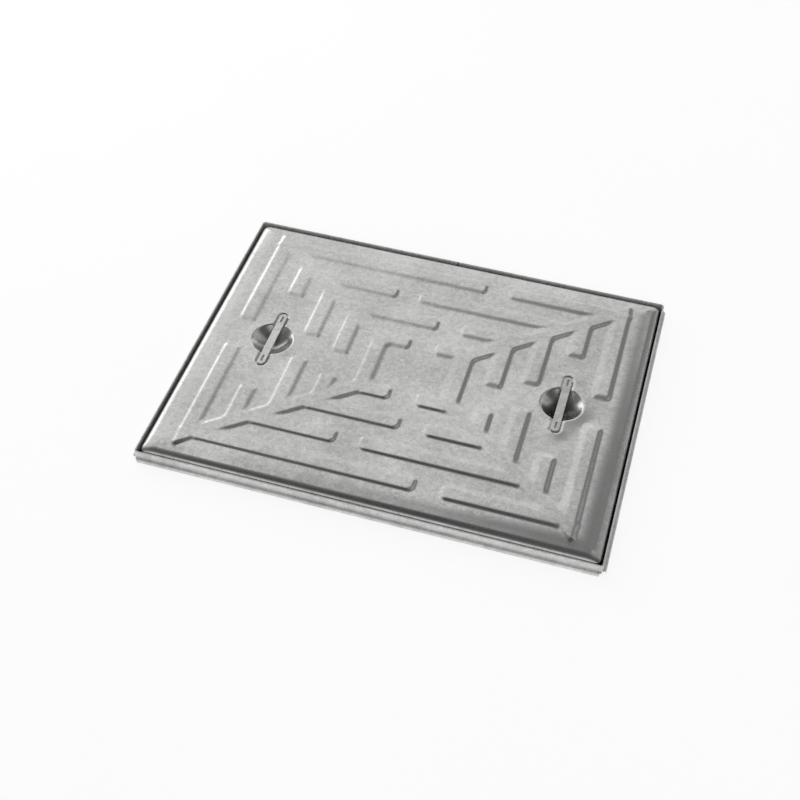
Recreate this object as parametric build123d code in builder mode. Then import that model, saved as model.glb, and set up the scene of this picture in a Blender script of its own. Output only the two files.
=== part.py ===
"""Pressed steel access cover and frame, 600 x 450 mm clear opening.

Millimetres. +Z is up, X runs along the long side. The origin is on the bedding plane under the
frame, at the middle of the opening. The frame is one folded strip, bent round four corners and welded.
The cover is a pressed tray, which rests in the frame and lifts straight up out of it.
"""

from build123d import *
from math import atan2, cos, degrees, sin, sqrt
import os

os.makedirs("parts", exist_ok=True)

# ---- Opening and frame ------------------------------------------------------------------------
clear_length = 600.0  # clear opening along X
clear_width = 450.0  # clear opening along Y
seat_width = 34.5  # edge of the clear opening to the inside of the outer wall
frame_height = 18.0  # bedding plane to the rim
frame_sheet = 1.2  # strip that the frame is folded from
upstand_height = 11.0  # inner upstand above the bedding plane
flange_reach = 4.3  # outward flange beyond the outer wall
flange_height = 5.6  # top of the outward flange above the bedding plane
flange_bend = 2.4  # outside radius where the flange turns down
rim_corner_radius = 5.4  # outside of the bend at each corner
notch_root = 1.5  # flange end, back from the wall's corner, where it leaves the wall
notch_tip = 5.0  # flange end, back from the wall's corner, at its outer edge
weld_width = 3.0  # width of the seams that close the strip

# ---- Seal -------------------------------------------------------------------------------------
seal_width = 7.5
seal_height = 2.0
seal_wall_gap = 0.4  # seal to the outer wall

# ---- Cover tray -------------------------------------------------------------------------------
cover_clearance = 3.0  # skirt to the outer wall, all round
cover_sheet = 1.6
cover_corner_radius = 10.0
skirt_seal_gap = 0.4  # skirt's lower edge above the seal
edge_radius = 5.5  # bend between the skirt and the top
shoulder_start = 6.0  # skirt face to the foot of the shoulder
shoulder_run = 6.0  # short slope just inside the edge bend
shoulder_rise = 1.5
margin_run = 22.0  # long shallow slope from the shoulder up to the flat
margin_rise = 2.3

# ---- Pressed bars -----------------------------------------------------------------------------
bar_width = 23.0  # middle of one slope to the middle of the other
bar_rise = 1.8
bar_run = 3.6  # width of the slope on a bar's outer side, its ends and the diagonals
bar_inner_run = 8.4  # width of the shallower slope on the side nearest the middle
end_margin = 42.5  # skirt face to the outermost bar, at the short ends
side_margin = 37.0  # skirt face to the outermost bar, at the long sides
column_pitch = 52.6  # bars parallel to Y
row_pitch = 51.2  # bars parallel to X
column_count = 5
pattern_offset = 2.0  # whole pressing sits this far towards +Y
diagonal_width = 22.0  # bars along the diagonals
diagonal_tip_width = 12.0
diagonal_tip_length = 26.0
diagonal_overrun = 7.0  # past the corner of the outermost bars
row_gaps = [(60.0, 99.0), (-72.0, -35.0), (8.0, 47.0), (-22.0, 19.0)]  # along X, outermost first
bar_shortest = 6.0  # a bar with a shorter inner side is left out of its ring
column_gaps = [(-29.5, 29.5), (-102.5, 102.5), (-27.0, 27.0), (-46.0, 6.0), None]  # along Y

# ---- Lifting points ---------------------------------------------------------------------------
bowl_mouth_radius = 28.5
bowl_depth = 17.0
pad_ring = 8.5  # raised pad beyond the bowl's mouth
pad_end_border = 4.5  # raised pad beyond the ends of the strap's recess
pad_side_border = 5.0  # raised pad beyond the sides of the strap's recess
pad_run = 8.0  # width of the pad's slopes
strap_length = 110.0
strap_width = 12.0
strap_thickness = 2.5
recess_gap = 2.5  # round the strap, in its recess
slot_length = 13.0
slot_width = 3.2
slot_end_margin = 12.0  # middle of a slot to the end of the strap
slot_weld_height = 1.5

# ---- Stiffeners under the tray ----------------------------------------------------------------
hat_sheet = 1.5
hat_depth = 14.0
hat_web_width = 40.0
hat_flange_width = 14.0
hat_end_gap = 20.0  # end of a stiffener to the edge of the clear opening
hat_recess_gap = 14.9  # edge of a stiffener to the sheet round the strap's recess

# ---- Worked out from the above ----------------------------------------------------------------
wall = 2 * frame_sheet  # the rim is a closed hem
inner_length = clear_length + 2 * seat_width
inner_width = clear_width + 2 * seat_width
cover_length = inner_length - 2 * cover_clearance
cover_width = inner_width - 2 * cover_clearance
margin_z = frame_height + shoulder_rise  # top of the shoulder
field_z = margin_z + margin_rise  # flat of the cover
bar_z = field_z + bar_rise  # tops of the bars
skirt_bottom = frame_sheet + seal_height + skirt_seal_gap
first_column = cover_length / 2 - end_margin
first_row = cover_width / 2 - side_margin
inner_lean = (bar_inner_run - bar_run) / 2
slope = cover_width / cover_length
diagonal_angle = degrees(atan2(cover_width, cover_length))
strap_x = first_column - column_pitch - bar_width / 2
row_count = len(row_gaps)
recess_width = strap_width + 2 * recess_gap
recess_length = strap_length + 2 * recess_gap
pad_radius = bowl_mouth_radius + pad_ring
pad_length = recess_length + 2 * pad_end_border
pad_width = recess_width + 2 * pad_side_border
slot_spacing = strap_length - 2 * slot_end_margin
hat_edge = recess_length / 2 + pattern_offset + cover_sheet + hat_recess_gap
hat_y = hat_edge + hat_flange_width + hat_web_width / 2  # middle of a stiffener
bowl_radius = (bowl_mouth_radius**2 + bowl_depth**2) / (2 * bowl_depth)
bowl_centre_z = bar_z - bowl_depth + bowl_radius
corners = [(1, -1), (1, 1), (-1, 1), (-1, -1)]


# ---- Frame: one folded strip, bent round four corners and closed by a butt weld ---------------
def ring(outward, inward, low, high):
    """Rectangular ring, from inward to outward of the wall's inside face, between two heights."""
    with BuildSketch(Plane.XY.offset(low)) as outline:
        Rectangle(inner_length + 2 * outward, inner_width + 2 * outward)
        Rectangle(inner_length + 2 * inward, inner_width + 2 * inward, mode=Mode.SUBTRACT)
    extrude(outline.sketch, amount=high - low)


with BuildPart() as frame_ring:
    hem_bottom = flange_height - frame_sheet
    with BuildSketch(Plane.XY.offset(hem_bottom)):
        RectangleRounded(inner_length + 2 * wall, inner_width + 2 * wall, rim_corner_radius)
        RectangleRounded(inner_length, inner_width, rim_corner_radius - wall, mode=Mode.SUBTRACT)
    extrude(amount=frame_height - hem_bottom)
    fillet(frame_ring.faces().sort_by(Axis.Z)[-1].edges(), 0.45 * wall)
    ring(frame_sheet, 0, 0, flange_height - frame_sheet)
    ring(frame_sheet, -seat_width, 0, frame_sheet)
    ring(frame_sheet - seat_width, -seat_width, 0, upstand_height)

with BuildPart() as flange_ring:
    reach = wall + flange_reach
    ring(reach, wall, flange_height - frame_sheet, flange_height)
    ring(reach, reach - frame_sheet, 0, flange_height)
    flange_edges = flange_ring.faces().sort_by(Axis.Z)[-1].outer_wire().edges()
    fillet(flange_edges, flange_bend)
    # The flange is cut back at each corner, which leaves an open notch outside the wall.
    corner_x = inner_length / 2 + wall
    corner_y = inner_width / 2 + wall
    reach_out = 4 * flange_reach
    draw_in = reach_out * (notch_tip - notch_root) / flange_reach
    for sx, sy in corners:
        with BuildSketch(Plane.XY.offset(-1)):
            with BuildLine():
                Polyline(
                    (sx * corner_x, sy * (corner_y - notch_root)),
                    (sx * (corner_x + reach_out), sy * (corner_y - notch_root - draw_in)),
                    (sx * (corner_x + reach_out), sy * (corner_y + reach_out)),
                    (sx * (corner_x - notch_root - draw_in), sy * (corner_y + reach_out)),
                    (sx * (corner_x - notch_root), sy * corner_y),
                    (sx * (corner_x - rim_corner_radius), sy * (corner_y - rim_corner_radius)),
                    close=True,
                )
            make_face()
        extrude(amount=flange_height + 2, mode=Mode.SUBTRACT)


# Seams that close the mitres in the seat and upstand, where the strip was notched to bend.
with BuildPart() as corner_seam_welds:
    ring(0, -seat_width, 0, frame_sheet)
    ring(frame_sheet - seat_width, -seat_width, 0, upstand_height)
    with BuildSketch():
        for sx, sy in corners:
            with Locations(Location((sx * inner_length / 2, sy * inner_width / 2), sx * sy * 45)):
                Rectangle(4 * seat_width, weld_width)
    extrude(amount=frame_height, mode=Mode.INTERSECT)
corner_seam_welds.part.label = "corner_seam_welds"
export_step(corner_seam_welds.part, "parts/corner_seam_welds.step")

with BuildPart() as frame_butt_weld:
    add(frame_ring.part)
    add(flange_ring.part)
    with BuildSketch():
        with Locations((0, inner_width / 2)):
            Rectangle(weld_width, 4 * seat_width)
    extrude(amount=2 * frame_height, mode=Mode.INTERSECT)
frame_butt_weld.part.label = "frame_butt_weld"
export_step(frame_butt_weld.part, "parts/frame_butt_weld.step")

with BuildPart() as frame_strip:
    add(frame_ring.part)
    add(flange_ring.part)
    add(corner_seam_welds.part, mode=Mode.SUBTRACT)
    add(frame_butt_weld.part, mode=Mode.SUBTRACT)
frame_strip.part.label = "frame_strip"
export_step(frame_strip.part, "parts/frame_strip.step")

with BuildPart() as seal:
    ring(-seal_wall_gap, -seal_wall_gap - seal_width, frame_sheet, frame_sheet + seal_height)
seal.part.label = "skirt_seal"
export_step(seal.part, "parts/skirt_seal.step")


# ---- Cover tray -------------------------------------------------------------------------------
def raise_bar(foot_points, top_points, drop, run=bar_run):
    """Add one pressed bar with sloping sides, given outlines half a slope inside its foot and
    half a slope outside its top."""
    sections = []
    for points, height, spread in (
        (foot_points, field_z - drop, run / 2),
        (top_points, bar_z - drop, -run / 2),
    ):
        with BuildSketch(Plane.XY.offset(height)) as section:
            with BuildLine():
                Polyline(*points, close=True)
            make_face()
            offset(amount=spread, kind=Kind.INTERSECTION)
        sections.append(section.sketch)
    loft(sections, ruled=True)


def on_diagonal(sx, sy, along, across):
    """Point of the pattern, from a distance along one diagonal and a distance across it."""
    dx = along * cos(atan2(slope, 1)) - across * sin(atan2(slope, 1))
    dy = along * sin(atan2(slope, 1)) + across * cos(atan2(slope, 1))
    return (sx * dx, sy * dy + pattern_offset)


def row_outline(gap, sx, outer, inner, sy):
    """Outline of a bar along X, from its gap to the diagonal."""
    return [
        (gap, sy * outer + pattern_offset),
        (sx * outer / slope, sy * outer + pattern_offset),
        (sx * inner / slope, sy * inner + pattern_offset),
        (gap, sy * inner + pattern_offset),
    ]


def row_bars(drop):
    """Bars along X, each from its gap to the two diagonals."""
    for index, (gap_start, gap_end) in enumerate(row_gaps):
        outer = first_row - index * row_pitch
        inner = outer - bar_width
        reach = (inner - inner_lean) / slope
        for sy in (-1, 1):
            for sx, gap in ((-1, gap_start), (1, gap_end)):
                if reach - sx * gap > bar_shortest:
                    raise_bar(
                        row_outline(gap, sx, outer, inner - inner_lean, sy),
                        row_outline(gap, sx, outer, inner + inner_lean, sy),
                        drop,
                    )


def column_outline(start, end, outer, inner, sx):
    """Outline of a bar along Y. An end left as None is cut by the diagonal."""
    corners = []
    for x in (outer, inner):
        low = -x * slope if start is None else start
        high = x * slope if end is None else end
        corners.append(((sx * x, low + pattern_offset), (sx * x, high + pattern_offset)))
    return [corners[0][0], corners[0][1], corners[1][1], corners[1][0]]


def column_bars(drop):
    """Bars along Y, each from its gap to the two diagonals, or unbroken."""
    for index, gap in enumerate(column_gaps):
        outer = first_column - index * column_pitch
        inner = outer - bar_width
        reach = (inner - inner_lean) * slope
        spans = [(None, None)] if gap is None else [(None, gap[0]), (gap[1], None)]
        for sx in (-1, 1):
            for start, end in spans:
                low = -reach if start is None else start
                high = reach if end is None else end
                if high - low > bar_shortest:
                    raise_bar(
                        column_outline(start, end, outer, inner - inner_lean, sx),
                        column_outline(start, end, outer, inner + inner_lean, sx),
                        drop,
                    )


def diagonal_bars(drop):
    """Bars along the diagonals, which tie the rings together and taper out at the corners."""
    start = (first_column - (column_count - 1) * column_pitch - bar_width) / cos(atan2(slope, 1))
    corner = first_column / cos(atan2(slope, 1))
    shoulder = corner + diagonal_overrun - diagonal_tip_length
    tip = corner + diagonal_overrun
    for sx, sy in corners:
        outline = [
            on_diagonal(sx, sy, start, -diagonal_width / 2),
            on_diagonal(sx, sy, shoulder, -diagonal_width / 2),
            on_diagonal(sx, sy, tip, -diagonal_tip_width / 2),
            on_diagonal(sx, sy, tip, diagonal_tip_width / 2),
            on_diagonal(sx, sy, shoulder, diagonal_width / 2),
            on_diagonal(sx, sy, start, diagonal_width / 2),
        ]
        raise_bar(outline, outline, drop)


def lifting_pads(drop):
    """Raised pads that carry the straps: a bar with a round swelling over the bowl."""
    for sx in (-1, 1):
        half_width, half_length = pad_width / 2, pad_length / 2
        outline = [
            (sx * strap_x - half_width, -half_length + pattern_offset),
            (sx * strap_x + half_width, -half_length + pattern_offset),
            (sx * strap_x + half_width, half_length + pattern_offset),
            (sx * strap_x - half_width, half_length + pattern_offset),
        ]
        raise_bar(outline, outline, drop, pad_run)
        with Locations((sx * strap_x, pattern_offset, (field_z + bar_z) / 2 - drop)):
            Cone(pad_radius + pad_run / 2, pad_radius - pad_run / 2, bar_rise)


def pressing(drop, inset):
    """Solid under the tray's top or under its underside, which is drop lower and inset."""
    length, width = cover_length - 2 * inset, cover_width - 2 * inset
    low, edge_z = skirt_bottom - drop, frame_height - drop
    with BuildSketch(Plane.XY.offset(low)) as skirt:
        RectangleRounded(length, width, cover_corner_radius - inset)
    extrude(skirt.sketch, amount=edge_z - low)
    fillet(faces().sort_by(Axis.Z)[-1].edges(), edge_radius - inset)
    sections = []
    for height, back in (
        (edge_z, shoulder_start),
        (margin_z - drop, shoulder_start + shoulder_run),
        (field_z - drop, shoulder_start + shoulder_run + margin_run),
    ):
        with BuildSketch(Plane.XY.offset(height)) as section:
            RectangleRounded(cover_length - 2 * back, cover_width - 2 * back, cover_corner_radius)
        sections.append(section.sketch)
    loft(sections[:2], ruled=True)
    loft(sections[1:], ruled=True)
    row_bars(drop)
    column_bars(drop)
    diagonal_bars(drop)
    lifting_pads(drop)


with BuildPart() as tray_hollow:
    pressing(cover_sheet, cover_sheet)
    for sx in (-1, 1):
        # Metal left round the bowl and under the strap's recess.
        with Locations((sx * strap_x, pattern_offset, bowl_centre_z)):
            Sphere(bowl_radius + cover_sheet, mode=Mode.SUBTRACT)
        with BuildSketch(Plane.XY.offset(bar_z - strap_thickness - cover_sheet)):
            with Locations((sx * strap_x, pattern_offset)):
                SlotOverall(recess_length + 2 * cover_sheet, recess_width + 2 * cover_sheet, 90)
        extrude(amount=strap_thickness + 1, mode=Mode.SUBTRACT)

with BuildPart() as cover_plate:
    pressing(0, 0)
    add(tray_hollow.part, mode=Mode.SUBTRACT)
    for sx in (-1, 1):
        with Locations((sx * strap_x, pattern_offset, bowl_centre_z)):
            Sphere(bowl_radius, mode=Mode.SUBTRACT)
        with BuildSketch(Plane.XY.offset(bar_z - strap_thickness)):
            with Locations((sx * strap_x, pattern_offset)):
                SlotOverall(recess_length, recess_width, 90)
        extrude(amount=strap_thickness + 1, mode=Mode.SUBTRACT)
cover_plate.part.label = "cover_plate"
export_step(cover_plate.part, "parts/cover_plate.step")

# ---- Lifting straps, fixed by slot welds ------------------------------------------------------
for side, sx in (("left", -1), ("right", 1)):
    slots = [
        (sx * strap_x, pattern_offset - slot_spacing / 2),
        (sx * strap_x, pattern_offset + slot_spacing / 2),
    ]
    with BuildPart() as strap:
        with BuildSketch(Plane.XY.offset(bar_z - strap_thickness)):
            with Locations((sx * strap_x, pattern_offset)):
                SlotOverall(strap_length, strap_width, 90)
            with Locations(*slots):
                SlotOverall(slot_length, slot_width, 90, mode=Mode.SUBTRACT)
        extrude(amount=strap_thickness)
        fillet(strap.faces().sort_by(Axis.Z)[-1].outer_wire().edges(), 0.6)
    strap.part.label = f"lifting_strap_{side}"
    export_step(strap.part, f"parts/lifting_strap_{side}.step")

    with BuildPart() as slot_welds:
        with BuildSketch(Plane.XY.offset(bar_z - strap_thickness)):
            with Locations(*slots):
                SlotOverall(slot_length, slot_width, 90)
        extrude(amount=slot_weld_height)
    slot_welds.part.label = f"strap_welds_{side}"
    export_step(slot_welds.part, f"parts/strap_welds_{side}.step")

# ---- Top-hat stiffeners, welded under the flat of the tray ------------------------------------
hat_length = clear_length - 2 * hat_end_gap
for side, sy in (("front", -1), ("rear", 1)):
    with BuildPart() as stiffener:
        with BuildSketch(Plane.YZ.offset(-hat_length / 2)):
            with Locations((sy * hat_y, field_z - cover_sheet)):
                Rectangle(hat_web_width, hat_depth, align=(Align.CENTER, Align.MAX))
                Rectangle(
                    hat_web_width + 2 * hat_flange_width, hat_sheet, align=(Align.CENTER, Align.MAX)
                )
            with Locations((sy * hat_y, field_z - cover_sheet)):
                Rectangle(
                    hat_web_width - 2 * hat_sheet,
                    hat_depth - hat_sheet,
                    align=(Align.CENTER, Align.MAX),
                    mode=Mode.SUBTRACT,
                )
        extrude(amount=hat_length)
    stiffener.part.label = f"stiffener_{side}"
    export_step(stiffener.part, f"parts/stiffener_{side}.step")
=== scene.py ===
"""Pressed steel access cover and frame: visual pieces, finishes and studio, one operator each."""

import math

import bmesh
import bpy
import numpy as np
from bpy.props import FloatProperty, FloatVectorProperty, PointerProperty
from mathutils import Matrix, Vector, noise


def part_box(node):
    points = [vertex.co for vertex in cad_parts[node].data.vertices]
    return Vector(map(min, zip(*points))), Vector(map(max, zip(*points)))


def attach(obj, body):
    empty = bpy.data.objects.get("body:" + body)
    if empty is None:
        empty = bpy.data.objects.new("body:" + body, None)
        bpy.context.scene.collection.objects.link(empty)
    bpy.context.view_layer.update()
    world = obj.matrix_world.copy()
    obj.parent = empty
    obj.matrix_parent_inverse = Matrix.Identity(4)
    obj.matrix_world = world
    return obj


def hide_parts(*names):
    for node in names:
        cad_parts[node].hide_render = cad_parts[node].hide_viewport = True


bl_info = {
    "name": "Access Cover",
    "version": (1, 0, 0),
    "blender": (4, 5, 0),
    "location": "3D View > Sidebar > Cover",
    "description": "Pressed steel access cover in a folded frame",
    "category": "Object",
}

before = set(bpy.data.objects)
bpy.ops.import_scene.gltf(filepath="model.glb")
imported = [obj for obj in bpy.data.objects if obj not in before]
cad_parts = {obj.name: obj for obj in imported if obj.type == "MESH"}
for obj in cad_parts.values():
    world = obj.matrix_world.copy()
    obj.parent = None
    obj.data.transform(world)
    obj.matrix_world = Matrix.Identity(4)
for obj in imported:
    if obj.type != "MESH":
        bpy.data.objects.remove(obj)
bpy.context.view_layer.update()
TRAY_LOW, TRAY_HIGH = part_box("cover_plate")
STRAP_LOW, STRAP_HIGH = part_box("lifting_strap_right")
STRAP_X = (STRAP_LOW.x + STRAP_HIGH.x) / 2
CORNERS = ((1, -1), (1, 1), (-1, 1), (-1, -1))

# Gaps in the bars, as (from, to) in metres along the bar, outermost bar first.
ROW_GAPS = ((0.060, 0.099), (-0.072, -0.035), (0.008, 0.047), (-0.022, 0.019))
COLUMN_GAPS = ((-0.0295, 0.0295), (-0.1025, 0.1025), (-0.027, 0.027), (-0.046, 0.006), None)
WHOLE_COLUMN_ROUND = 0.004  # corners of the short column that has no gap
DIAGONAL_ROUND = 0.0030  # corners of a diagonal bar

# Outlines round each strap, half-way up their sides, in metres.
RECESS_LENGTH, RECESS_WIDTH = 0.1155, 0.0175
RECESS_SIDE = 0.0046  # width of the recess's side
PAD_LENGTH, PAD_WIDTH = 0.124, 0.027
PAD_SWELLING = 0.037  # radius of the pad where it widens round the bowl
PAD_BLEND = 0.016
BOWL_LIP = 0.0150  # height over which the bowl's lip is rounded
BOWL_REACH = 0.985  # share of the bowl's sphere, past which its wall goes up straight
BOWL_WALL = 4  # rise of that wall over its run

# Blends between slopes, as shares of the bar's rise.
INNER_BLEND = 0.15
BAR_BLEND = 0.8
FAR_BELOW = -99.0  # stands for a place far from every bar

# The tray's mesh, in metres.
FIELD_ROUND = 0.008  # corner radius of the flat grid, inside the edge bend
EDGE_STEPS = 16  # rings in the edge bend
TOP_REACHES = (0.0040, 0.0014)  # the mesh is halved once for each reach about a slope
UNDER_REACHES = (0.0004,)
EDGE_CLEARANCE = 0.004  # the grid isn't halved this near to its own edge
CORNER_CLEARANCE = 0.001
SHARP_ANGLE = math.radians(35)  # an edge that turns by more than this is drawn sharp

# The pressed sheet is never quite flat: broad and small waves, per metre, and their depth.
BROAD_WAVES, SMALL_WAVES, SMALL_SHARE = 14, 35, 0.5
WAVE_DEPTH = 0.00012

# The studio. Levels of the walls are (how far towards the dark side, brightness).
FLOOR_HALF_SIZE = 6
DARK_SIDE = (0.8, -0.3, 0.5)
WALL_LEVELS = (
    (0.0, 0.95),
    (0.10, 0.88),
    (0.20, 0.82),
    (0.235, 0.32),
    (0.29, 0.26),
    (0.34, 0.13),
    (0.42, 0.22),
    (0.48, 0.5),
)
SOFTBOX_PLACE, SOFTBOX_SIZE, SOFTBOX_POWER = (-2.0, 1.3, 0.8), (2.0, 0.7), 5.5
CAMERA_LENS = 58.5
CAMERA_PLACE = (0.33727, -1.28884, 1.43474)
CAMERA_RIGHT = (0.95873, 0.28388, 0.01553)
CAMERA_BACK = (0.17914, -0.64561, 0.74236)


def linear(hex_colour):
    """Linear RGBA of an sRGB hex colour."""
    channels = [int(hex_colour[i : i + 2], 16) / 255 for i in (1, 3, 5)]
    return [c / 12.92 if c <= 0.04045 else ((c + 0.055) / 1.055) ** 2.4 for c in channels] + [1.0]


# ---- Sizes and colours ------------------------------------------------------------------------


class TraySettings(bpy.types.PropertyGroup):
    """Sizes of the pressed cover tray."""

    sheet: FloatProperty(
        name="Sheet", description="Thickness of the sheet", default=0.0016, unit="LENGTH"
    )
    rim_level: FloatProperty(
        name="Rim", description="Top of the edge bend", default=0.018, unit="LENGTH"
    )
    edge_radius: FloatProperty(
        name="Edge", description="Bend to the skirt", default=0.0055, unit="LENGTH"
    )
    corner_radius: FloatProperty(
        name="Corner", description="Plan corner", default=0.010, unit="LENGTH"
    )
    shoulder: FloatProperty(
        name="Shoulder", description="Width of the slope", default=0.0070, unit="LENGTH"
    )
    shoulder_rise: FloatProperty(
        name="Shoulder rise", description="Height of the slope", default=0.0015, unit="LENGTH"
    )
    margin: FloatProperty(
        name="Margin", description="Width of the long slope", default=0.022, unit="LENGTH"
    )
    margin_rise: FloatProperty(
        name="Margin rise", description="Height of the slope", default=0.0023, unit="LENGTH"
    )
    bar_rise: FloatProperty(
        name="Bar rise", description="Height of the bars", default=0.0018, unit="LENGTH"
    )
    bar_width: FloatProperty(
        name="Bar", description="Width of a bar", default=0.0230, unit="LENGTH"
    )
    bar_slope: FloatProperty(
        name="Outer side", description="Width of the slope", default=0.0070, unit="LENGTH"
    )
    diagonal_slope: FloatProperty(
        name="Diagonal side", description="Width of the slope", default=0.0090, unit="LENGTH"
    )
    column_slope: FloatProperty(
        name="Column side", description="Width of the outer slope", default=0.0085, unit="LENGTH"
    )
    end_slope: FloatProperty(
        name="Column end", description="Width of the slope", default=0.0130, unit="LENGTH"
    )
    inner_slope: FloatProperty(
        name="Inner side", description="Width of the slope", default=0.0115, unit="LENGTH"
    )
    pad_slope: FloatProperty(
        name="Pad side", description="Width of the slope", default=0.034, unit="LENGTH"
    )
    bar_round: FloatProperty(
        name="Round", description="Corners of the bars", default=0.0085, unit="LENGTH"
    )
    end_margin: FloatProperty(
        name="End margin", description="Skirt to bars along X", default=0.0425, unit="LENGTH"
    )
    side_margin: FloatProperty(
        name="Side margin", description="Skirt to bars along Y", default=0.0370, unit="LENGTH"
    )
    column_pitch: FloatProperty(
        name="Column pitch", description="Bar to bar along X", default=0.0526, unit="LENGTH"
    )
    row_pitch: FloatProperty(
        name="Row pitch", description="Bar to bar along Y", default=0.0512, unit="LENGTH"
    )
    offset: FloatProperty(
        name="Offset", description="Pattern towards +Y", default=0.002, unit="LENGTH"
    )
    diagonal: FloatProperty(
        name="Diagonal", description="Width of a diagonal", default=0.022, unit="LENGTH"
    )
    bowl_mouth: FloatProperty(
        name="Bowl", description="Mouth radius", default=0.0285, unit="LENGTH"
    )
    bowl_depth: FloatProperty(
        name="Depth", description="Depth of the bowl", default=0.017, unit="LENGTH"
    )
    cell: FloatProperty(
        name="Mesh cell", description="Coarsest cell", default=0.0063, unit="LENGTH"
    )


class FinishSettings(bpy.types.PropertyGroup):
    """Colours of the finishes."""

    sheet: FloatVectorProperty(
        name="Cover",
        description="Galvanised sheet",
        default=linear("#C8C8C7"),
        size=4,
        subtype="COLOR",
    )
    strip: FloatVectorProperty(
        name="Frame",
        description="Galvanised strip",
        default=linear("#D6D6D5"),
        size=4,
        subtype="COLOR",
    )
    bar: FloatVectorProperty(
        name="Strap",
        description="Galvanised flat bar",
        default=linear("#CECECD"),
        size=4,
        subtype="COLOR",
    )
    weld: FloatVectorProperty(
        name="Weld",
        description="Zinc-painted weld",
        default=linear("#B4B4B3"),
        size=4,
        subtype="COLOR",
    )
    seal: FloatVectorProperty(
        name="Seal",
        description="Foam rubber",
        default=linear("#1E1F1F"),
        size=4,
        subtype="COLOR",
    )


# ---- Materials --------------------------------------------------------------------------------


def add_node(tree, kind, settings, links=()):
    """Add one node, set its inputs or properties, and link (input, source) pairs into it."""
    made = tree.nodes.new(kind)
    for name, value in settings.items():
        if isinstance(name, int) or name in made.inputs:
            made.inputs[name].default_value = value
        else:
            setattr(made, name, value)
    for name, source in links:
        tree.links.new(source, made.inputs[name])
    return made


def start_material(name):
    """Empty node material, its tree and the object's own coordinates."""
    material = bpy.data.materials.new(name)
    material.use_nodes = True
    tree = material.node_tree
    tree.nodes.clear()
    place = add_node(tree, "ShaderNodeTexCoord", {}).outputs["Object"]
    return material, tree, place


def noise_texture(tree, place, grain_mm, detail, roughness=0.5):
    """Noise whose coarsest grain has a size in millimetres."""
    settings = {"Scale": 1000 / grain_mm, "Detail": detail, "Roughness": roughness}
    return add_node(tree, "ShaderNodeTexNoise", settings, [("Vector", place)])


def map_range(tree, value, start, end, low, high):
    """Value from start to end, as low to high, and held there beyond them."""
    settings = {"From Min": start, "From Max": end, "To Min": low, "To Max": high}
    return add_node(tree, "ShaderNodeMapRange", settings, [("Value", value)]).outputs[0]


def combine(tree, operation, *values):
    """Result of a maths node on sockets and plain numbers."""
    settings = {"operation": operation}
    links = []
    for index, value in enumerate(values):
        if isinstance(value, float):
            settings[index] = value
        else:
            links.append((index, value))
    return add_node(tree, "ShaderNodeMath", settings, links).outputs[0]


def scaled(colour, share):
    """Colour made darker or lighter by a share, with no channel over 1."""
    return [min(1.0, c * share) for c in colour[:3]] + [1.0]


def two_tones(tree, factor, first, second, start=0.0, end=1.0):
    """Colour that goes from first to second as the factor goes from start to end."""
    tone = add_node(tree, "ShaderNodeValToRGB", {}, [("Fac", factor)])
    for stop, position, colour in zip(tone.color_ramp.elements, (start, end), (first, second)):
        stop.position = position
        stop.color = list(colour)
    return tone.outputs["Color"]


def relief(tree, height, strength, depth):
    """Bump of a depth in metres."""
    settings = {"Strength": strength, "Distance": depth}
    return add_node(tree, "ShaderNodeBump", settings, [("Height", height)]).outputs[0]


def shade(tree, colour, roughness, bump, metallic, glow=0.0):
    """Principled surface at the end of a material, which may glow a little in white."""
    settings = {"Metallic": metallic}
    if glow:
        settings.update({"Emission Color": (1, 1, 1, 1), "Emission Strength": glow})
    links = [("Base Color", colour), ("Roughness", roughness), ("Normal", bump)]
    surface = add_node(tree, "ShaderNodeBsdfPrincipled", settings, links)
    add_node(tree, "ShaderNodeOutputMaterial", {}, [("Surface", surface.outputs[0])])


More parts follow.
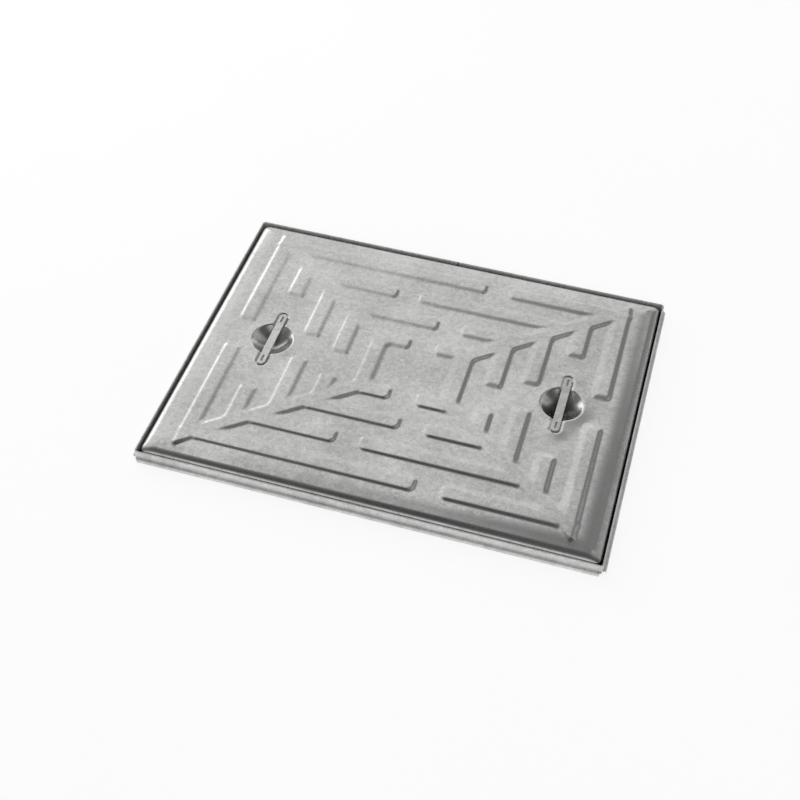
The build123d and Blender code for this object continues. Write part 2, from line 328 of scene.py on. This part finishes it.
def galvanised_steel(
    name, colour, crystal_mm, streak_mm, rough_low, rough_high, metallic=1.0, dirt_and_shade_heights=None
):
    """Steel dipped in zinc: crystals give patches of slightly different grey and gloss, and the
    rolled sheet under them leaves fine streaks along X. The last argument gives two heights below
    which the sheet is darkened: dirt and painted shade in the bowls, painted shade down the skirt."""
    material, tree, place = start_material(name)
    # The crystals' borders wander by up to about the size of a crystal.
    wander = add_node(
        tree, "ShaderNodeTexNoise", {"Scale": 700 / crystal_mm, "Detail": 2.0}, [("Vector", place)]
    )
    bent = add_node(
        tree,
        "ShaderNodeVectorMath",
        {"operation": "MULTIPLY_ADD", 1: (crystal_mm / 700,) * 3},
        [(0, wander.outputs["Color"]), (2, place)],
    )
    crystals = add_node(
        tree,
        "ShaderNodeTexVoronoi",
        {"Scale": 1000 / crystal_mm},
        [("Vector", bent.outputs[0])],
    )
    crystal = add_node(tree, "ShaderNodeSeparateColor", {}, [("Color", crystals.outputs["Color"])])
    clouds = noise_texture(tree, place, grain_mm=90.0, detail=3.0)
    crystal_weight = 0.36
    patches = combine(
        tree, "MULTIPLY_ADD", crystal.outputs["Red"], crystal_weight, clouds.outputs["Fac"]
    )
    # Frosting on the crystals, and streaks drawn out along X.
    frost = noise_texture(tree, place, grain_mm=3.0, detail=4.0, roughness=0.65)
    along = add_node(tree, "ShaderNodeMapping", {"Scale": (0.12, 1.0, 0.12)}, [("Vector", place)])
    streaks = noise_texture(tree, along.outputs[0], streak_mm, detail=3.0, roughness=0.6)
    streak_weight = 0.35
    grain = combine(
        tree, "MULTIPLY_ADD", streaks.outputs["Fac"], streak_weight, frost.outputs["Fac"]
    )
    # The sum of all four is spread over this range, and the tone is held beyond it.
    darkest, brightest = 0.95, 1.75
    share = map_range(tree, combine(tree, "ADD", patches, grain), darkest, brightest, 0.0, 1.0)
    tone = two_tones(tree, share, first=scaled(colour, 0.77), second=scaled(colour, 1.14))
    if dirt_and_shade_heights:
        # Darker below a height: dirt and painted shade in the bowls, painted shade down the skirt
        # in the gap.
        height = add_node(tree, "ShaderNodeSeparateXYZ", {}, [(0, place)]).outputs["Z"]
        unshaded_share = map_range(tree, height, *dirt_and_shade_heights, low=0.6, high=1.0)
        darkened = add_node(
            tree, "ShaderNodeVectorMath", {"operation": "SCALE"}, [(0, tone), ("Scale", unshaded_share)]
        )
        tone = darkened.outputs[0]
    # The brighter patches are the glossier ones.
    roughness = map_range(tree, share, 0.0, 1.0, rough_high, rough_low)
    bump = relief(tree, grain, strength=0.25, depth=0.00006)
    shade(tree, tone, roughness, bump, metallic)
    return material


def zinc_painted_weld(name, colour):
    """Weld bead dressed and brushed with zinc paint: dull, grainy grey with darker pits."""
    material, tree, place = start_material(name)
    grit = noise_texture(tree, place, grain_mm=1.5, detail=5.0, roughness=0.7).outputs["Fac"]
    tone = two_tones(tree, grit, scaled(colour, 0.75), colour, start=0.35, end=0.65)
    roughness = map_range(tree, grit, start=0.3, end=0.7, low=0.75, high=0.5)
    bump = relief(tree, grit, strength=0.6, depth=0.0002)
    shade(tree, tone, roughness, bump, metallic=0.85)
    return material


def foam_rubber(name, colour):
    """Black foam strip: matt, with fine open pores."""
    material, tree, place = start_material(name)
    pore_mm = 0.8
    pores = add_node(tree, "ShaderNodeTexVoronoi", {"Scale": 1000 / pore_mm}, [("Vector", place)])
    depth = pores.outputs["Distance"]
    tone = two_tones(tree, depth, scaled(colour, 0.5), colour, end=0.5)
    roughness = map_range(tree, depth, 0.0, 1.0, low=0.95, high=0.8)
    bump = relief(tree, depth, strength=0.5, depth=0.0002)
    shade(tree, tone, roughness, bump, metallic=0.0)
    return material


def studio_floor(name):
    """Smooth pale painted board with a very faint mottle. It glows a little, so the cover seems
    to lie on an endless white ground."""
    material, tree, place = start_material(name)
    mottle = add_node(
        tree, "ShaderNodeTexNoise", {"Scale": 3.0, "Detail": 2.0}, [("Vector", place)]
    ).outputs["Fac"]
    tone = two_tones(tree, mottle, linear("#A8A8A8"), linear("#ACACAC"))
    roughness = map_range(tree, mottle, 0.0, 1.0, low=0.9, high=0.95)
    bump = relief(tree, mottle, strength=0.0, depth=0.0001)
    shade(tree, tone, roughness, bump, metallic=0.0, glow=0.75)
    return material


# ---- Pressed shape of the tray ----------------------------------------------------------------


def soft_min(a, b, reach):
    """Lesser of two arrays, blended over reach."""
    share = np.clip(0.5 + 0.5 * (b - a) / reach, 0, 1)
    return b * (1 - share) + a * share - reach * share * (1 - share)


def ease(t):
    """S-shaped step from 0 to 1."""
    t = np.clip(t, 0, 1)
    return t * t * (3 - 2 * t)


def inset_outline(corners, inset):
    """Convex outline moved inwards, as counter-clockwise corners."""
    following = corners[1:] + corners[:1]
    area = sum(ax * by - bx * ay for (ax, ay), (bx, by) in zip(corners, following))
    ordered = corners if area > 0 else corners[::-1]
    lines = []
    for (ax, ay), (bx, by) in zip(ordered, ordered[1:] + ordered[:1]):
        length = math.hypot(bx - ax, by - ay)
        nx, ny = (by - ay) / length, -(bx - ax) / length
        lines.append((nx, ny, nx * ax + ny * ay - inset))
    moved = []
    for (nx, ny, nd), (mx, my, md) in zip(lines[-1:] + lines[:-1], lines):
        cross = nx * my - ny * mx
        moved.append(((nd * my - md * ny) / cross, (nx * md - mx * nd) / cross))
    return moved


def distance_to_outline(x, y, corners, rounding):
    """Signed distance in plan to a convex outline with rounded corners, negative inside."""
    ring = inset_outline(corners, rounding)
    beyond = np.full(x.shape, -np.inf)
    nearest = np.full(x.shape, np.inf)
    for (ax, ay), (bx, by) in zip(ring, ring[1:] + ring[:1]):
        ex, ey = bx - ax, by - ay
        length = math.hypot(ex, ey)
        px, py = x - ax, y - ay
        along = np.clip((px * ex + py * ey) / length**2, 0, 1)
        nearest = np.minimum(nearest, np.hypot(px - ex * along, py - ey * along))
        beyond = np.maximum(beyond, (px * ey - py * ex) / length)
    return np.where(beyond > 0, nearest, beyond) - rounding


def bar_outlines(tray):
    """Every bar, as four things: its outline half-way up its sides; the rounding of its corners;
    the line of its shallow inner side as (axis, side, distance), or None; and the gap's end of a
    column as (side, distance), or None."""
    length, width = TRAY_HIGH.x - TRAY_LOW.x, TRAY_HIGH.y - TRAY_LOW.y
    slope = width / length
    first_column = length / 2 - tray.end_margin
    first_row = width / 2 - tray.side_margin
    shift = tray.offset
    lean = (tray.inner_slope - tray.bar_slope) / 2
    end_lean = (tray.end_slope - tray.bar_slope) / 2
    bars = []
    for index, (start, end) in enumerate(ROW_GAPS):
        outer = first_row - index * tray.row_pitch
        inner = outer - tray.bar_width
        back = inner - lean
        for sy in (-1, 1):
            for sx, gap in ((-1, start), (1, end)):
                corners = [
                    (gap, sy * outer + shift),
                    (sx * outer / slope, sy * outer + shift),
                    (sx * back / slope, sy * back + shift),
                    (gap, sy * back + shift),
                ]
                bars.append((corners, tray.bar_round, (1, sy, inner), None))
    for index, gap in enumerate(COLUMN_GAPS):
        outer = first_column - index * tray.column_pitch
        inner = outer - tray.bar_width
        back = inner - lean
        for sx in (-1, 1):
            if gap:
                for sy, end in ((-1, gap[0]), (1, gap[1])):
                    foot = end - sy * end_lean
                    corners = [
                        (sx * outer, foot + shift),
                        (sx * outer, sy * outer * slope + shift),
                        (sx * back, sy * back * slope + shift),
                        (sx * back, foot + shift),
                    ]
                    bars.append((corners, tray.bar_round, (0, sx, inner), (sy, end)))
            else:
                corners = [
                    (sx * outer, -outer * slope + shift),
                    (sx * outer, outer * slope + shift),
                    (sx * back, back * slope + shift),
                    (sx * back, -back * slope + shift),
                ]
                bars.append((corners, WHOLE_COLUMN_ROUND, (0, sx, inner), None))
    turn = math.atan(slope)
    last_column = first_column - (len(COLUMN_GAPS) - 1) * tray.column_pitch
    start = (last_column - tray.bar_width) / math.cos(turn)
    half = tray.diagonal / 2
    tip_y, rise = first_column * slope, half / math.cos(turn)
    for sx, sy in CORNERS:
        corners = [
            (sx * first_column, sy * (tip_y + rise) + shift),
            (sx * first_column, sy * (tip_y - rise) + shift),
        ]
        for across in (-half, half):
            dx = start * math.cos(turn) - across * math.sin(turn)
            dy = start * math.sin(turn) + across * math.cos(turn)
            corners.append((sx * dx, sy * dy + shift))
        bars.append((corners, DIAGONAL_ROUND, None, None))
    return bars


def distance_to_strap_line(x, y, length, width, shift):
    """Signed distance in plan to a round-ended outline on the nearer strap's line."""
    reach = (length - width) / 2
    along = np.clip(y - shift, -reach, reach)
    return np.hypot(np.abs(x) - STRAP_X, y - shift - along) - width / 2


def slope_share(tray, x, y):
    """How far up the sides of the pattern each point is: 0 half-way, over 0.5 on top."""
    share = np.full(x.shape, FAR_BELOW)
    for corners, rounding, shallow, column_end in bar_outlines(tray):
        run = tray.diagonal_slope
        if shallow:
            run = tray.bar_slope if shallow[0] else tray.column_slope
        up = -distance_to_outline(x, y, corners, rounding) / run
        if column_end:
            sy, end = column_end
            up = soft_min(up, sy * (y - tray.offset - end) / tray.end_slope, INNER_BLEND)
        if shallow:
            axis, side, inner = shallow
            across = x if axis == 0 else y - tray.offset
            up = soft_min(up, (side * across - inner) / tray.inner_slope, INNER_BLEND)
        share = -soft_min(-share, -up, BAR_BLEND)
    pad = distance_to_strap_line(x, y, PAD_LENGTH, PAD_WIDTH, tray.offset)
    swelling = np.hypot(np.abs(x) - STRAP_X, y - tray.offset) - PAD_SWELLING
    pad = soft_min(pad, swelling, PAD_BLEND)
    return np.maximum(share, -pad / tray.pad_slope)


def pressed_height(tray, x, y):
    """Height of the top surface, with margin, bars, strap recesses and bowls."""
    field = tray.rim_level + tray.shoulder_rise + tray.margin_rise
    top = field + tray.bar_rise
    in_from_skirt = np.minimum(TRAY_HIGH.x - np.abs(x), TRAY_HIGH.y - np.abs(y))
    climb = (in_from_skirt - tray.edge_radius - tray.shoulder) / tray.margin
    z = field - tray.margin_rise * (1 - np.sin(np.clip(climb, 0, 1) * math.pi / 2))
    z = z + (top - z) * ease(0.5 + slope_share(tray, x, y))
    recess = distance_to_strap_line(x, y, RECESS_LENGTH, RECESS_WIDTH, tray.offset)
    depth = STRAP_HIGH.z - STRAP_LOW.z
    z = np.minimum(z, top - depth * (1 - ease(0.5 + recess / RECESS_SIDE)))
    radius = (tray.bowl_mouth**2 + tray.bowl_depth**2) / (2 * tray.bowl_depth)
    out = np.hypot(np.abs(x) - STRAP_X, y - tray.offset)
    within = np.minimum(out, BOWL_REACH * radius)
    bowl = top - tray.bowl_depth + radius - np.sqrt(radius**2 - within**2)
    bowl = bowl + (out - within) * BOWL_WALL
    return soft_min(z, bowl, BOWL_LIP)


# ---- Mesh helpers -----------------------------------------------------------------------------


def make_piece(name, bm, material, body, nodes):
    """Turn a bmesh into a finished piece that rides on a body and stands for CAD nodes."""
    for face in bm.faces:
        face.smooth = True
    for edge in bm.edges:
        if len(edge.link_faces) == 2:
            edge.smooth = edge.calc_face_angle(0) < SHARP_ANGLE
    mesh = bpy.data.meshes.new(name)
    bm.to_mesh(mesh)
    bm.free()
    mesh.materials.append(material)
    piece = bpy.data.objects.new(name, mesh)
    bpy.context.scene.collection.objects.link(piece)
    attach(piece, body)
    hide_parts(*nodes)
    return piece


def finish_node(node, material):
    """Give a CAD node its finish."""
    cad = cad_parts[node]
    cad.data.materials.clear()
    cad.data.materials.append(material)


def refine(bm, wanted):
    """Halve the edges whose middle point is wanted."""
    edges = list(bm.edges)
    middle = np.array([(e.verts[0].co + e.verts[1].co) / 2 for e in edges])
    chosen = wanted(middle[:, 0], middle[:, 1])
    bmesh.ops.subdivide_edges(
        bm,
        edges=[e for e, is_wanted in zip(edges, chosen) if is_wanted],
        cuts=1,
        use_grid_fill=True,
        use_single_edge=True,
    )


def extrude_ring(bm, edges, before, after):
    """Extrude a rounded rectangle of edges to its next size and height.

    Each size is (half length, half width, corner radius, height)."""
    made = bmesh.ops.extrude_edge_only(bm, edges=edges)["geom"]
    half_x, half_y, radius, _ = before
    next_x, next_y, next_radius, next_z = after
    core_x, core_y = half_x - radius, half_y - radius
    for vertex in (v for v in made if isinstance(v, bmesh.types.BMVert)):
        x, y = vertex.co.x, vertex.co.y
        core = Vector((max(-core_x, min(core_x, x)), max(-core_y, min(core_y, y))))
        out = (vertex.co.to_2d() - core).normalized()
        core.x *= (next_x - next_radius) / core_x
        core.y *= (next_y - next_radius) / core_y
        vertex.co = (*(core + out * next_radius), next_z)
    return [e for e in made if isinstance(e, bmesh.types.BMEdge)]


def rounded_field(half_x, half_y, radius, cell):
    """Flat grid with rounded corners, finer in the corners."""
    bm = bmesh.new()
    count_x = round(2 * (half_x - radius) / cell)
    count_y = round(2 * (half_y - radius) / cell)
    bmesh.ops.create_grid(bm, x_segments=count_x + 2, y_segments=count_y + 2, size=1)
    for vertex in bm.verts:
        for axis, half, count in ((0, half_x, count_x), (1, half_y, count_y)):
            step = round((vertex.co[axis] + 1) / 2 * (count + 2)) - 1
            inner = half - radius
            if 0 <= step <= count:
                vertex.co[axis] = -inner + 2 * inner * step / count
            else:
                vertex.co[axis] = -half if step < 0 else half
    corner_x = half_x - radius - CORNER_CLEARANCE
    corner_y = half_y - radius - CORNER_CLEARANCE

    def in_corner(x, y):
        return (np.abs(x) > corner_x) & (np.abs(y) > corner_y)

    refine(bm, in_corner)
    refine(bm, in_corner)
    for vertex in bm.verts:
        over = Vector((abs(vertex.co.x) - half_x + radius, abs(vertex.co.y) - half_y + radius))
        if over.x > 0 and over.y > 0:
            shorter = over * max(over.x, over.y) / over.length
            vertex.co.x = math.copysign(half_x - radius + shorter.x, vertex.co.x)
            vertex.co.y = math.copysign(half_y - radius + shorter.y, vertex.co.y)
    return bm


def press(bm, tray, drop):
    """Lift every point of a flat field to the pressed height, with a little unevenness."""
    x = np.array([v.co.x for v in bm.verts])
    y = np.array([v.co.y for v in bm.verts])
    z = pressed_height(tray, x, y)
    for vertex, height in zip(bm.verts, z):
        wave = noise.noise(Vector((vertex.co.x, vertex.co.y, 0)) * BROAD_WAVES)
        wave += SMALL_SHARE * noise.noise(Vector((vertex.co.x, vertex.co.y, 3)) * SMALL_WAVES)
        vertex.co.z = height - drop - WAVE_DEPTH * (1 + wave)


# ---- Operators --------------------------------------------------------------------------------


class COVER_OT_tray(bpy.types.Operator):
    """Pressed tray, from one sheet"""

    bl_idname = "cover.tray"
    bl_label = "Cover Tray"

    def execute(self, context):
        tray = context.scene.cover_tray
        bm = bmesh.new()
        for drop, reaches in ((0.0, TOP_REACHES), (tray.sheet, UNDER_REACHES)):
            side = self.one_side(tray, drop, reaches)
            bm.from_mesh(side)
            bpy.data.meshes.remove(side)
        bmesh.ops.bridge_loops(bm, edges=[e for e in bm.edges if e.is_boundary])
        bmesh.ops.recalc_face_normals(bm, faces=bm.faces)
        if any(e.is_boundary for e in bm.edges):
            raise RuntimeError("the tray's skirt is open")
        material = galvanised_steel(
            "Galvanised pressed sheet",
            context.scene.cover_finish.sheet,
            crystal_mm=5.0,
            streak_mm=2.0,
            rough_low=0.19,
            rough_high=0.30,
            # Below these heights the sheet is darkened: dirt and painted shade in the bowls,
            # painted shade down the skirt.
            dirt_and_shade_heights=(0.010, 0.0155),
        )
        make_piece("cover_tray", bm, material, "cover", ["cover_plate"])
        return {"FINISHED"}

    def one_side(self, tray, drop, reaches):
        """Upper or under side of the sheet, as a mesh that is open at the foot of the skirt."""
        half_x, half_y = TRAY_HIGH.x, TRAY_HIGH.y
        flat = tray.edge_radius + tray.shoulder
        size = (half_x - flat, half_y - flat, FIELD_ROUND, 0)
        bm = rounded_field(*size[:3], tray.cell)
        for reach in reaches:
            refine(bm, self.near_slopes(tray, reach))
        press(bm, tray, drop)
        edges = [e for e in bm.edges if e.is_boundary]
        for ring in self.edge_rings(tray, drop):
            edges = extrude_ring(bm, edges, size, ring)
            size = ring
        mesh = bpy.data.meshes.new("side")
        bm.to_mesh(mesh)
        bm.free()
        return mesh

    def near_slopes(self, tray, reach):
        """Test for the places within reach of a slope, a recess's side or a bowl."""
        flat = tray.edge_radius + tray.shoulder
        edge_x = TRAY_HIGH.x - flat - EDGE_CLEARANCE
        edge_y = TRAY_HIGH.y - flat - EDGE_CLEARANCE

        def wanted(x, y):
            steep = np.abs(slope_share(tray, x, y)) < 0.5 + reach / tray.bar_slope
            recess = distance_to_strap_line(x, y, RECESS_LENGTH, RECESS_WIDTH, tray.offset)
            bowl = np.hypot(np.abs(x) - STRAP_X, y - tray.offset) < tray.bowl_mouth + reach
            inside = (np.abs(x) < edge_x) & (np.abs(y) < edge_y)
            return (steep | (np.abs(recess) < reach) | bowl) & inside

        return wanted

    def edge_rings(self, tray, drop):
        """Rings from the field's edge, over the shoulder and the bend, down to the skirt's foot.

        The shoulder goes on at the margin's slope and steepens into the bend as one curve."""
        flat = tray.edge_radius + tray.shoulder
        slope = tray.margin_rise / tray.margin * math.pi / 2
        steep = tray.edge_radius - drop + tray.shoulder_rise - slope * (flat - drop)
        rings = []
        for step in range(1, EDGE_STEPS + 1):
            turn = math.radians(90) * step / EDGE_STEPS
            back = flat - (flat - drop) * math.sin(turn)
            radius = FIELD_ROUND + (tray.corner_radius - drop - FIELD_ROUND) * math.sin(turn)
            fall = slope * (flat - back)
            height = tray.rim_level + tray.shoulder_rise - drop - fall
            height -= steep * (1 - math.cos(turn))
            rings.append((TRAY_HIGH.x - back, TRAY_HIGH.y - back, radius, height))
        half_x, half_y, radius, bend_foot = rings[-1]
        for height in (0.5 * (bend_foot + TRAY_LOW.z), TRAY_LOW.z):
            rings.append((half_x, half_y, radius, height))
        return rings


class COVER_OT_frame(bpy.types.Operator):
    """Folded frame strip and the welds that close it"""

    bl_idname = "cover.frame"
    bl_label = "Frame"

    def execute(self, context):
        finish = context.scene.cover_finish
        strip = galvanised_steel(
            "Galvanised folded strip",
            finish.strip,
            crystal_mm=7.0,
            streak_mm=1.6,
            rough_low=0.38,
            rough_high=0.55,
            metallic=0.4,
        )
        weld = zinc_painted_weld("Zinc-painted weld", finish.weld)
        finish_node("frame_strip", strip)
        finish_node("frame_butt_weld", weld)
        finish_node("corner_seam_welds", weld)
        return {"FINISHED"}


class COVER_OT_seal(bpy.types.Operator):
    """Foam strip on the seat"""

    bl_idname = "cover.seal"
    bl_label = "Seal"

    def execute(self, context):
        finish_node("skirt_seal", foam_rubber("Foam rubber", context.scene.cover_finish.seal))
        return {"FINISHED"}


class COVER_OT_straps(bpy.types.Operator):
    """Lifting straps and their slot welds"""

    bl_idname = "cover.straps"
    bl_label = "Lifting Straps"

    def execute(self, context):
        finish = context.scene.cover_finish
        bar = galvanised_steel(
            "Galvanised flat bar",
            finish.bar,
            crystal_mm=6.0,
            streak_mm=1.5,
            rough_low=0.35,
            rough_high=0.5,
        )
        weld = bpy.data.materials["Zinc-painted weld"]
        for side in ("left", "right"):
            finish_node(f"lifting_strap_{side}", bar)
            finish_node(f"strap_welds_{side}", weld)
        return {"FINISHED"}


class COVER_OT_stiffeners(bpy.types.Operator):
    """Top-hat stiffeners under the tray"""

    bl_idname = "cover.stiffeners"
    bl_label = "Stiffeners"

    def execute(self, context):
        for side in ("front", "rear"):
            finish_node(f"stiffener_{side}", bpy.data.materials["Galvanised folded strip"])
        return {"FINISHED"}


class COVER_OT_stage(bpy.types.Operator):
    """Pale floor, soft studio light and the camera"""

    bl_idname = "cover.stage"
    bl_label = "Stage"

    def execute(self, context):
        scene = context.scene
        self.lay_floor(scene)
        scene.world = self.build_room()
        self.hang_softbox(scene)
        self.place_camera(scene)
        scene.view_settings.view_transform = "Standard"
        return {"FINISHED"}

    def lay_floor(self, scene):
        """Wide level board under the frame."""
        bm = bmesh.new()
        bmesh.ops.create_grid(bm, x_segments=1, y_segments=1, size=FLOOR_HALF_SIZE)
        mesh = bpy.data.meshes.new("floor")
        bm.to_mesh(mesh)
        bm.free()
        mesh.materials.append(studio_floor("Pale painted board"))
        floor = bpy.data.objects.new("floor", mesh)
        scene.collection.objects.link(floor)

    def build_room(self):
        """World that shines as a white room with a dark side and a dim ceiling would."""
        world = bpy.data.worlds.new("studio")
        world.use_nodes = True
        tree = world.node_tree
        look = add_node(tree, "ShaderNodeTexCoord", {}).outputs["Generated"]
        heading = add_node(tree, "ShaderNodeSeparateXYZ", {}, [(0, look)]).outputs
        # White walls behind and to the left of the cover; the room is dark above and to the right.
        toward_dark = add_node(
            tree,
            "ShaderNodeVectorMath",
            {"operation": "DOT_PRODUCT", 1: DARK_SIDE},
            [(0, look)],
        )
        walls = add_node(tree, "ShaderNodeValToRGB", {}, [("Fac", toward_dark.outputs["Value"])])
        stops = walls.color_ramp.elements
        for position, level in WALL_LEVELS:
            stops.new(position).color = (level, level, level, 1)
        stops.remove(stops[0])
        stops.remove(stops[-1])
        # The ceiling over the cover is dim.
        ceiling = map_range(tree, heading["Y"], start=0.08, end=0.28, low=0.22, high=1.0)
        upper = combine(tree, "MULTIPLY", walls.outputs["Color"], ceiling)
        # The floor and the foot of the walls are white all round.
        low = map_range(tree, heading["Z"], start=0.22, end=0.42, low=0.9, high=0.0)
        # The wall on the viewer's side is white up to half-way.
        front = map_range(tree, heading["Y"], start=-0.35, end=-0.6, low=0.0, high=0.9)
        room = combine(tree, "MAXIMUM", combine(tree, "MAXIMUM", upper, low), front)
        tree.links.new(room, tree.nodes["Background"].inputs["Color"])
        return world

    def hang_softbox(self, scene):
        """Weak broad light from the left rear, which brightens the edges that face it."""
        light = bpy.data.lights.new("softbox_left", "AREA")
        light.shape = "RECTANGLE"
        light.size, light.size_y = SOFTBOX_SIZE
        light.energy = SOFTBOX_POWER
        lamp = bpy.data.objects.new("softbox_left", light)
        lamp.location = SOFTBOX_PLACE
        lamp.rotation_euler = (-Vector(SOFTBOX_PLACE)).to_track_quat("-Z", "Y").to_euler()
        scene.collection.objects.link(lamp)

    def place_camera(self, scene):
        """Camera that looks down on the cover from the front right."""
        camera = bpy.data.cameras.new("camera")
        camera.lens = CAMERA_LENS
        viewer = bpy.data.objects.new("camera", camera)
        right, back = Vector(CAMERA_RIGHT), Vector(CAMERA_BACK)
        turn = Matrix((right, back.cross(right), back)).transposed()
        viewer.matrix_world = Matrix.Translation(CAMERA_PLACE) @ turn.to_4x4()
        scene.collection.objects.link(viewer)
        scene.camera = viewer


class COVER_PT_panel(bpy.types.Panel):
    """Lists the pieces of the cover"""

    bl_label = "Access Cover"
    bl_idname = "COVER_PT_panel"
    bl_space_type = "VIEW_3D"
    bl_region_type = "UI"
    bl_category = "Cover"

    def draw(self, context):
        for operator in PIECES:
            self.layout.operator(operator.bl_idname)
        for group in (context.scene.cover_tray, context.scene.cover_finish):
            for name in group.bl_rna.properties.keys():
                if name not in {"name", "rna_type"}:
                    self.layout.prop(group, name)


PIECES = (
    COVER_OT_stage,
    COVER_OT_tray,
    COVER_OT_frame,
    COVER_OT_seal,
    COVER_OT_straps,
    COVER_OT_stiffeners,
)
CLASSES = (TraySettings, FinishSettings, *PIECES, COVER_PT_panel)


def register():
    for cls in CLASSES:
        bpy.utils.register_class(cls)
    bpy.types.Scene.cover_tray = PointerProperty(type=TraySettings)
    bpy.types.Scene.cover_finish = PointerProperty(type=FinishSettings)


def unregister():
    del bpy.types.Scene.cover_finish
    del bpy.types.Scene.cover_tray
    for cls in reversed(CLASSES):
        bpy.utils.unregister_class(cls)


def main():
    register()
    bpy.ops.cover.stage()
    bpy.ops.cover.tray()
    bpy.ops.cover.frame()
    bpy.ops.cover.seal()
    bpy.ops.cover.straps()
    bpy.ops.cover.stiffeners()


if __name__ == "__main__":
    main()
